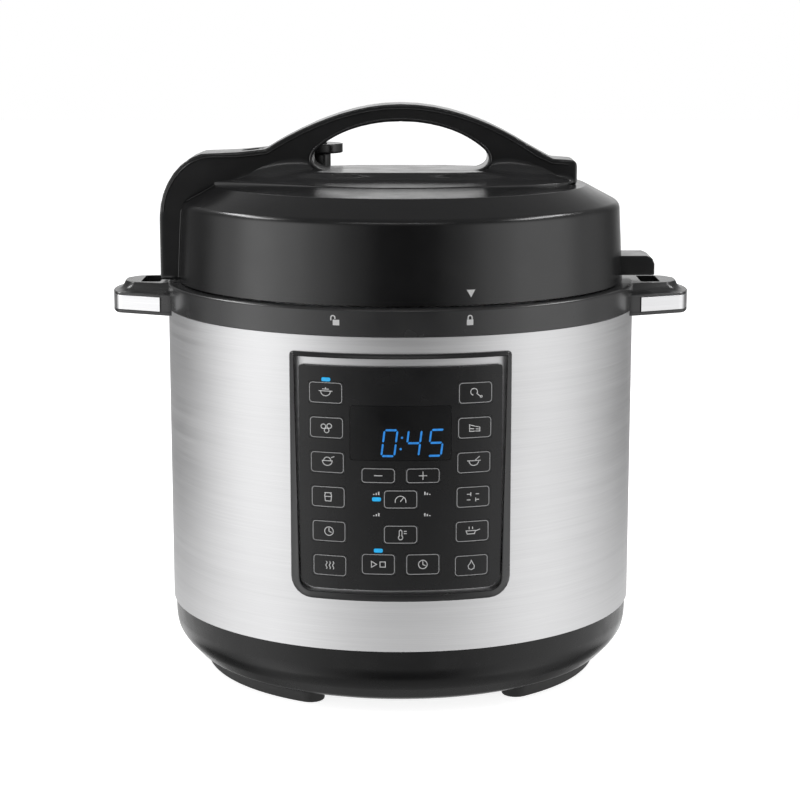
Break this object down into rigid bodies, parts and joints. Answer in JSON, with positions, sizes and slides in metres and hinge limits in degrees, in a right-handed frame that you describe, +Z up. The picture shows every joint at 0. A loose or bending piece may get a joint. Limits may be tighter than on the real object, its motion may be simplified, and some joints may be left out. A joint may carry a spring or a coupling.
{
  "type": "electric pressure cooker",
  "caption": "Round countertop pressure cooker with a turn-and-lift locking lid, arched handle, curved key panel, steel wrap and removable pot.",
  "frame": {"origin": "on the cooker's axis, in the plane of its feet", "axes": "+Z up, -Y towards the control panel, +X to the right seen from the front"},
  "size_m": [0.3296, 0.2964, 0.3226],
  "materials": {
    "black_plastic": "satin",
    "gloss_bezel": "glossy",
    "panel_film": "satin gloss",
    "display_window": "smoked",
    "foot_rubber": "matte",
    "brushed_stainless": "brushed around the body",
    "stamped_steel": "satin",
    "cast_aluminium": "satin",
    "pot_coating": "non-stick inside, satin outside",
    "silicone": "translucent matte",
    "fastener_steel": "zinc plated",
    "blue_leds": "lit",
    "circuit_board": "solder mask",
    "component_black": "matte",
    "contact_brass": "satin",
    "clear_plastic": "clear"
  },
  "bodies": {
    "housing": {"base_cover": "black_plastic", "feet": "foot_rubber", "bottom_plate": "stamped_steel", "housing_screws": "fastener_steel", "steel_wrap": "brushed_stainless", "top_band": "black_plastic", "handle_trims": "brushed_stainless", "lock_ring": "cast_aluminium", "pot_well": "cast_aluminium", "well_floor": "cast_aluminium", "heating_plate": "cast_aluminium", "heater_element": "stamped_steel", "plate_supports": "stamped_steel", "sensor_spring": "fastener_steel", "thermal_fuse": "contact_brass", "control_bezel": "gloss_bezel", "panel_film": "panel_film", "display_window": "display_window", "led_display": "blue_leds", "indicator_leds": "blue_leds", "control_board": "circuit_board", "tact_switches": "component_black", "power_board": "circuit_board", "power_components": "component_black", "power_inlet": "black_plastic", "inlet_pins": "contact_brass", "lead_wires": "component_black", "collector_bracket": "black_plastic"},
    "cooking_pot": {"cooking_pot": "pot_coating"},
    "thermal_sensor": {"thermal_sensor": "cast_aluminium"},
    "condensation_collector": {"condensation_collector": "clear_plastic"},
    "lid_follower": {"lid_follower": "black_plastic"},
    "lid": {"lid_cover": "black_plastic", "lid_handle": "black_plastic", "lid_plate": "stamped_steel", "lid_screws": "fastener_steel", "sealing_ring": "silicone", "gasket_rack": "stamped_steel", "vent_pipe": "stamped_steel"},
    "anti_block_shield": {"anti_block_shield": "stamped_steel"},
    "float_valve": {"float_valve": "fastener_steel"},
    "release_valve": {"release_valve": "black_plastic"},
    "key_left_1": {"key_left_1": "panel_film"},
    "key_left_2": {"key_left_2": "panel_film"},
    "key_left_3": {"key_left_3": "panel_film"},
    "key_left_4": {"key_left_4": "panel_film"},
    "key_left_5": {"key_left_5": "panel_film"},
    "key_left_6": {"key_left_6": "panel_film"},
    "key_right_1": {"key_right_1": "panel_film"},
    "key_right_2": {"key_right_2": "panel_film"},
    "key_right_3": {"key_right_3": "panel_film"},
    "key_right_4": {"key_right_4": "panel_film"},
    "key_right_5": {"key_right_5": "panel_film"},
    "key_right_6": {"key_right_6": "panel_film"},
    "key_minus": {"key_minus": "panel_film"},
    "key_plus": {"key_plus": "panel_film"},
    "key_pressure": {"key_pressure": "panel_film"},
    "key_temperature": {"key_temperature": "panel_film"},
    "key_start_stop": {"key_start_stop": "panel_film"},
    "key_timer": {"key_timer": "panel_film"}
  },
  "joints": [
    {"name": "lid_turn", "type": "hinge", "parent": "housing", "child": "lid_follower", "pos_m": [0, 0, 0], "axis": [0, 0, 1], "range_deg": [-30, 0]},
    {"name": "lid_lift", "type": "slide", "parent": "lid_follower", "child": "lid", "axis": [0, 0, 1], "range_m": [0, 0.4]},
    {"name": "pot_lift", "type": "slide", "parent": "housing", "child": "cooking_pot", "axis": [0, 0, 1], "range_m": [0, 0.2]},
    {"name": "release_valve_turn", "type": "hinge", "parent": "lid", "child": "release_valve", "pos_m": [-0.05, 0.058, 0.28], "axis": [0, 0, 1], "range_deg": [0, 60]},
    {"name": "float_valve_rise", "type": "slide", "parent": "lid", "child": "float_valve", "axis": [0, 0, 1], "range_m": [0, 0.005]},
    {"name": "shield_pull", "type": "slide", "parent": "lid", "child": "anti_block_shield", "axis": [0, 0, -1], "range_m": [0, 0.02]},
    {"name": "collector_pull", "type": "slide", "parent": "housing", "child": "condensation_collector", "axis": [0, 1, 0], "range_m": [0, 0.05]},
    {"name": "sensor_press", "type": "slide", "parent": "housing", "child": "thermal_sensor", "axis": [0, 0, 1], "range_m": [-0.0015, 0], "stiffness_N_per_m": 300, "springref_m": 0.004, "deforming": ["sensor_spring"]},
    {"name": "key_left_1_press", "type": "slide", "parent": "housing", "child": "key_left_1", "axis": [0.2893, 0.9573, 0], "range_m": [0, 0.0004], "stiffness_N_per_m": 800, "springref_m": -0.001},
    {"name": "key_left_2_press", "type": "slide", "parent": "housing", "child": "key_left_2", "axis": [0.2867, 0.958, 0], "range_m": [0, 0.0004], "stiffness_N_per_m": 800, "springref_m": -0.001},
    {"name": "key_left_3_press", "type": "slide", "parent": "housing", "child": "key_left_3", "axis": [0.2842, 0.9588, 0], "range_m": [0, 0.0004], "stiffness_N_per_m": 800, "springref_m": -0.001},
    {"name": "key_left_4_press", "type": "slide", "parent": "housing", "child": "key_left_4", "axis": [0.2817, 0.9595, 0], "range_m": [0, 0.0004], "stiffness_N_per_m": 800, "springref_m": -0.001},
    {"name": "key_left_5_press", "type": "slide", "parent": "housing", "child": "key_left_5", "axis": [0.2792, 0.9602, 0], "range_m": [0, 0.0004], "stiffness_N_per_m": 800, "springref_m": -0.001},
    {"name": "key_left_6_press", "type": "slide", "parent": "housing", "child": "key_left_6", "axis": [0.2767, 0.961, 0], "range_m": [0, 0.0004], "stiffness_N_per_m": 800, "springref_m": -0.001},
    {"name": "key_right_1_press", "type": "slide", "parent": "housing", "child": "key_right_1", "axis": [-0.2893, 0.9573, 0], "range_m": [0, 0.0004], "stiffness_N_per_m": 800, "springref_m": -0.001},
    {"name": "key_right_2_press", "type": "slide", "parent": "housing", "child": "key_right_2", "axis": [-0.2867, 0.958, 0], "range_m": [0, 0.0004], "stiffness_N_per_m": 800, "springref_m": -0.001},
    {"name": "key_right_3_press", "type": "slide", "parent": "housing", "child": "key_right_3", "axis": [-0.2842, 0.9588, 0], "range_m": [0, 0.0004], "stiffness_N_per_m": 800, "springref_m": -0.001},
    {"name": "key_right_4_press", "type": "slide", "parent": "housing", "child": "key_right_4", "axis": [-0.2817, 0.9595, 0], "range_m": [0, 0.0004], "stiffness_N_per_m": 800, "springref_m": -0.001},
    {"name": "key_right_5_press", "type": "slide", "parent": "housing", "child": "key_right_5", "axis": [-0.2792, 0.9602, 0], "range_m": [0, 0.0004], "stiffness_N_per_m": 800, "springref_m": -0.001},
    {"name": "key_right_6_press", "type": "slide", "parent": "housing", "child": "key_right_6", "axis": [-0.2767, 0.961, 0], "range_m": [0, 0.0004], "stiffness_N_per_m": 800, "springref_m": -0.001},
    {"name": "key_minus_press", "type": "slide", "parent": "housing", "child": "key_minus", "axis": [0.0867, 0.9962, 0], "range_m": [0, 0.0004], "stiffness_N_per_m": 800, "springref_m": -0.001},
    {"name": "key_plus_press", "type": "slide", "parent": "housing", "child": "key_plus", "axis": [-0.0867, 0.9962, 0], "range_m": [0, 0.0004], "stiffness_N_per_m": 800, "springref_m": -0.001},
    {"name": "key_pressure_press", "type": "slide", "parent": "housing", "child": "key_pressure", "axis": [0, 1, 0], "range_m": [0, 0.0004], "stiffness_N_per_m": 800, "springref_m": -0.001},
    {"name": "key_temperature_press", "type": "slide", "parent": "housing", "child": "key_temperature", "axis": [0, 1, 0], "range_m": [0, 0.0004], "stiffness_N_per_m": 800, "springref_m": -0.001},
    {"name": "key_start_stop_press", "type": "slide", "parent": "housing", "child": "key_start_stop", "axis": [0.0867, 0.9962, 0], "range_m": [0, 0.0004], "stiffness_N_per_m": 800, "springref_m": -0.001},
    {"name": "key_timer_press", "type": "slide", "parent": "housing", "child": "key_timer", "axis": [-0.0867, 0.9962, 0], "range_m": [0, 0.0004], "stiffness_N_per_m": 800, "springref_m": -0.001}
  ],
  "couplings": [
    {"joint": "pot_lift", "follows": "lid_lift", "ratio": 0.5}
  ]
}
